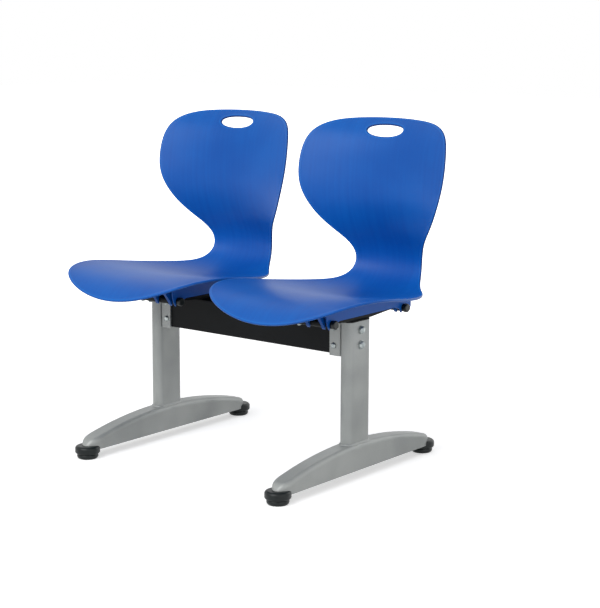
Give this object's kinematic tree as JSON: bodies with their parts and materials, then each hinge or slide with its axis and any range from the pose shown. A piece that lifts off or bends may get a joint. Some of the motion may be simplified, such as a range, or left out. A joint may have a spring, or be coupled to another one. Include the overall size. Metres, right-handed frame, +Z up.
{
  "type": "beam seating",
  "caption": "Beam seating bench with hourglass plastic shells on a steel beam, flat oval columns and arched feet with levelling glides.",
  "frame": {"origin": "on the floor, midway between the two feet and between their front and rear glides", "axes": "+X along the beam to the right of someone who looks at the bench from the front, +Y towards the backrests, +Z up"},
  "size_m": [0.8854, 0.607, 0.7994],
  "materials": {
    "shell_blue": "satin, fine grain",
    "frame_grey": "satin powder coat",
    "beam_black": "satin powder coat",
    "cap_black": "matt",
    "zinc_steel": "zinc plated"
  },
  "bodies": {
    "frame": {"beam": "beam_black", "seat_shell_left": "shell_blue", "arm_bolts_left": "zinc_steel", "arm_nuts_left": "zinc_steel", "shell_screws_left": "zinc_steel", "beam_bolts_left": "zinc_steel", "beam_nuts_left": "zinc_steel", "column_bolts_left": "zinc_steel", "column_washers_left": "zinc_steel", "column_nuts_left": "zinc_steel", "beam_bracket_left": "frame_grey", "column_left": "frame_grey", "foot_left": "frame_grey", "column_head_left": "beam_black", "cross_tube_front_left": "beam_black", "toe_cap_front_left": "cap_black", "tube_cap_front_left_left": "cap_black", "tube_cap_front_left_right": "cap_black", "cross_tube_rear_left": "beam_black", "toe_cap_rear_left": "cap_black", "tube_cap_rear_left_left": "cap_black", "tube_cap_rear_left_right": "cap_black", "seat_arm_left_left": "beam_black", "seat_arm_left_right": "beam_black", "seat_shell_right": "shell_blue", "arm_bolts_right": "zinc_steel", "arm_nuts_right": "zinc_steel", "shell_screws_right": "zinc_steel", "beam_bolts_right": "zinc_steel", "beam_nuts_right": "zinc_steel", "column_bolts_right": "zinc_steel", "column_washers_right": "zinc_steel", "column_nuts_right": "zinc_steel", "beam_bracket_right": "frame_grey", "column_right": "frame_grey", "foot_right": "frame_grey", "column_head_right": "beam_black", "cross_tube_front_right": "beam_black", "toe_cap_front_right": "cap_black", "tube_cap_front_right_left": "cap_black", "tube_cap_front_right_right": "cap_black", "cross_tube_rear_right": "beam_black", "toe_cap_rear_right": "cap_black", "tube_cap_rear_right_left": "cap_black", "tube_cap_rear_right_right": "cap_black", "seat_arm_right_left": "beam_black", "seat_arm_right_right": "beam_black"},
    "glide_front_left": {"glide_pad_front_left": "cap_black"},
    "stem_front_left": {"glide_stem_front_left": "zinc_steel"},
    "glide_rear_left": {"glide_pad_rear_left": "cap_black"},
    "stem_rear_left": {"glide_stem_rear_left": "zinc_steel"},
    "glide_front_right": {"glide_pad_front_right": "cap_black"},
    "stem_front_right": {"glide_stem_front_right": "zinc_steel"},
    "glide_rear_right": {"glide_pad_rear_right": "cap_black"},
    "stem_rear_right": {"glide_stem_rear_right": "zinc_steel"}
  },
  "joints": [
    {"name": "glide_front_left_travel", "type": "slide", "parent": "frame", "child": "glide_front_left", "axis": [0, 0, -1], "range_m": [0, 0.008]},
    {"name": "stem_front_left_turn", "type": "hinge", "parent": "glide_front_left", "child": "stem_front_left", "pos_m": [-0.29, -0.274, 0.012], "axis": [0, 0, -1], "range_deg": [0, 1920]},
    {"name": "glide_rear_left_travel", "type": "slide", "parent": "frame", "child": "glide_rear_left", "axis": [0, 0, -1], "range_m": [0, 0.008]},
    {"name": "stem_rear_left_turn", "type": "hinge", "parent": "glide_rear_left", "child": "stem_rear_left", "pos_m": [-0.29, 0.274, 0.012], "axis": [0, 0, -1], "range_deg": [0, 1920]},
    {"name": "glide_front_right_travel", "type": "slide", "parent": "frame", "child": "glide_front_right", "axis": [0, 0, -1], "range_m": [0, 0.008]},
    {"name": "stem_front_right_turn", "type": "hinge", "parent": "glide_front_right", "child": "stem_front_right", "pos_m": [0.29, -0.274, 0.012], "axis": [0, 0, -1], "range_deg": [0, 1920]},
    {"name": "glide_rear_right_travel", "type": "slide", "parent": "frame", "child": "glide_rear_right", "axis": [0, 0, -1], "range_m": [0, 0.008]},
    {"name": "stem_rear_right_turn", "type": "hinge", "parent": "glide_rear_right", "child": "stem_rear_right", "pos_m": [0.29, 0.274, 0.012], "axis": [0, 0, -1], "range_deg": [0, 1920]}
  ],
  "couplings": [
    {"joint": "stem_front_left_turn", "follows": "glide_front_left_travel", "rad_per_m": 4188.8},
    {"joint": "stem_rear_left_turn", "follows": "glide_rear_left_travel", "rad_per_m": 4188.8},
    {"joint": "stem_front_right_turn", "follows": "glide_front_right_travel", "rad_per_m": 4188.8},
    {"joint": "stem_rear_right_turn", "follows": "glide_rear_right_travel", "rad_per_m": 4188.8}
  ]
}
